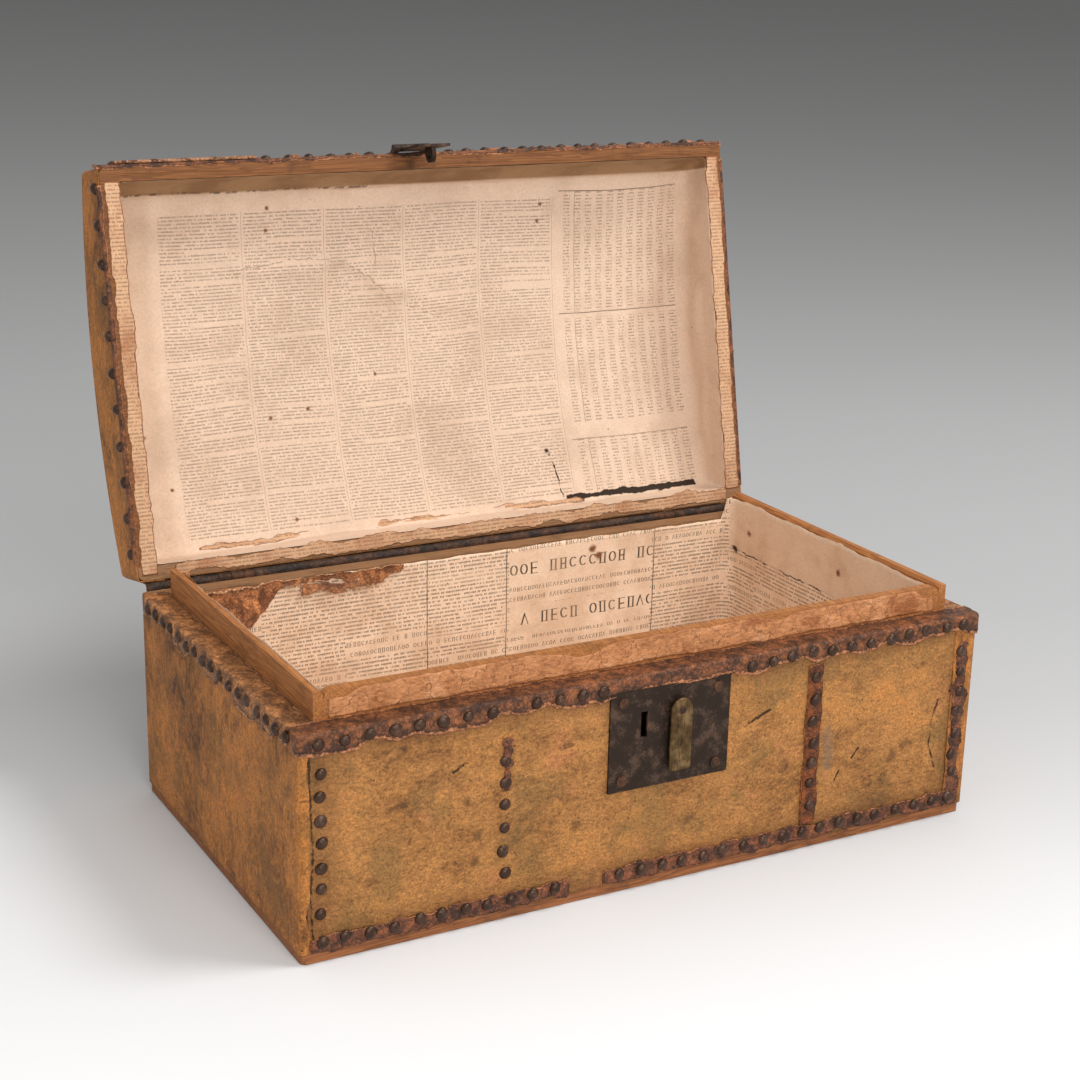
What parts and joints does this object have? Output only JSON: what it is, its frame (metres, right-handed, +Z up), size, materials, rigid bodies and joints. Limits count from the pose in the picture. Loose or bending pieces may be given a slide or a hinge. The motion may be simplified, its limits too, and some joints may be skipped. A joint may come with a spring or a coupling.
{
  "type": "dome-top trunk",
  "caption": "Small hide-covered wooden trunk with a low domed lid open on strap hinges, nailed leather bindings, paper lining, and an iron lock with bolt, hasp and swinging keyhole cover.",
  "frame": {"origin": "the middle of the underside of the base board, on the surface that the trunk stands on", "axes": "+X along the front from left to right, +Y from the front to the back, +Z up"},
  "size_m": [0.4868, 0.3808, 0.4236],
  "materials": {
    "pine": "bare, aged and dirty",
    "paper": "matt, yellowed printed paper",
    "hide": "short-haired hide, worn",
    "binding_leather": "dry dark red-brown leather",
    "iron": "black forged iron with rust",
    "brass": "dulled brass",
    "nails": "dark bronzed round heads",
    "spring_steel": "dull flat spring"
  },
  "bodies": {
    "case": {"base_board": "pine", "front_board": "pine", "back_board": "pine", "left_end_board": "pine", "right_end_board": "pine", "front_lip": "pine", "left_lip": "pine", "right_lip": "pine", "case_lining": "paper", "left_end_hide": "hide", "right_end_hide": "hide", "front_hide": "hide", "back_hide": "hide", "front_top_binding": "binding_leather", "end_top_bindings": "binding_leather", "front_bottom_binding": "binding_leather", "front_right_strap": "binding_leather", "front_right_seam_strip": "binding_leather", "lock_plate": "iron", "lock_plate_rivets": "iron", "lock_case": "iron", "lock_spring": "spring_steel", "keyhole_cover_pin": "iron", "left_case_hinge_strap": "iron", "right_case_hinge_strap": "iron", "hinge_pins": "iron", "case_hinge_screws": "iron", "case_front_nails": "nails", "case_end_nails": "nails", "case_back_nails": "nails"},
    "lid": {"left_lid_hinge_strap": "iron", "right_lid_hinge_strap": "iron", "lid_hinge_screws": "iron", "lid_front_board": "pine", "lid_back_board": "pine", "lid_left_end": "pine", "lid_right_end": "pine", "dome_board_1": "pine", "dome_board_2": "pine", "dome_board_3": "pine", "dome_board_4": "pine", "dome_board_5": "pine", "lid_lining": "paper", "lid_hide": "hide", "lid_left_hide": "hide", "lid_right_hide": "hide", "lid_front_rim_binding": "binding_leather", "lid_end_rim_bindings": "binding_leather", "dome_left_strap": "binding_leather", "dome_right_strap": "binding_leather", "hasp_plate": "iron", "hasp_pin": "iron", "hasp_rivets": "iron", "lid_front_nails": "nails", "lid_end_nails": "nails", "dome_nails": "nails"},
    "hasp": {"hasp_leaf": "iron", "hasp_staple": "iron"},
    "keyhole_cover": {"keyhole_cover": "brass"},
    "lock_bolt": {"lock_bolt": "iron"}
  },
  "joints": [
    {"name": "lid_hinge", "type": "hinge", "parent": "case", "child": "lid", "pos_m": [0, 0.1399, 0.14175], "axis": [1, 0, 0], "range_deg": [0, 101.5]},
    {"name": "hasp_swing", "type": "hinge", "parent": "lid", "child": "hasp", "pos_m": [0, 0.1946, 0.41687], "axis": [1, 0, 0], "range_deg": [-165, 0]},
    {"name": "keyhole_cover_swing", "type": "hinge", "parent": "case", "child": "keyhole_cover", "pos_m": [0.0073, -0.1412, 0.116], "axis": [0, 1, 0], "range_deg": [-90, 90]},
    {"name": "bolt_slide", "type": "slide", "parent": "case", "child": "lock_bolt", "axis": [1, 0, 0], "range_m": [-0.011, 0]}
  ]
}
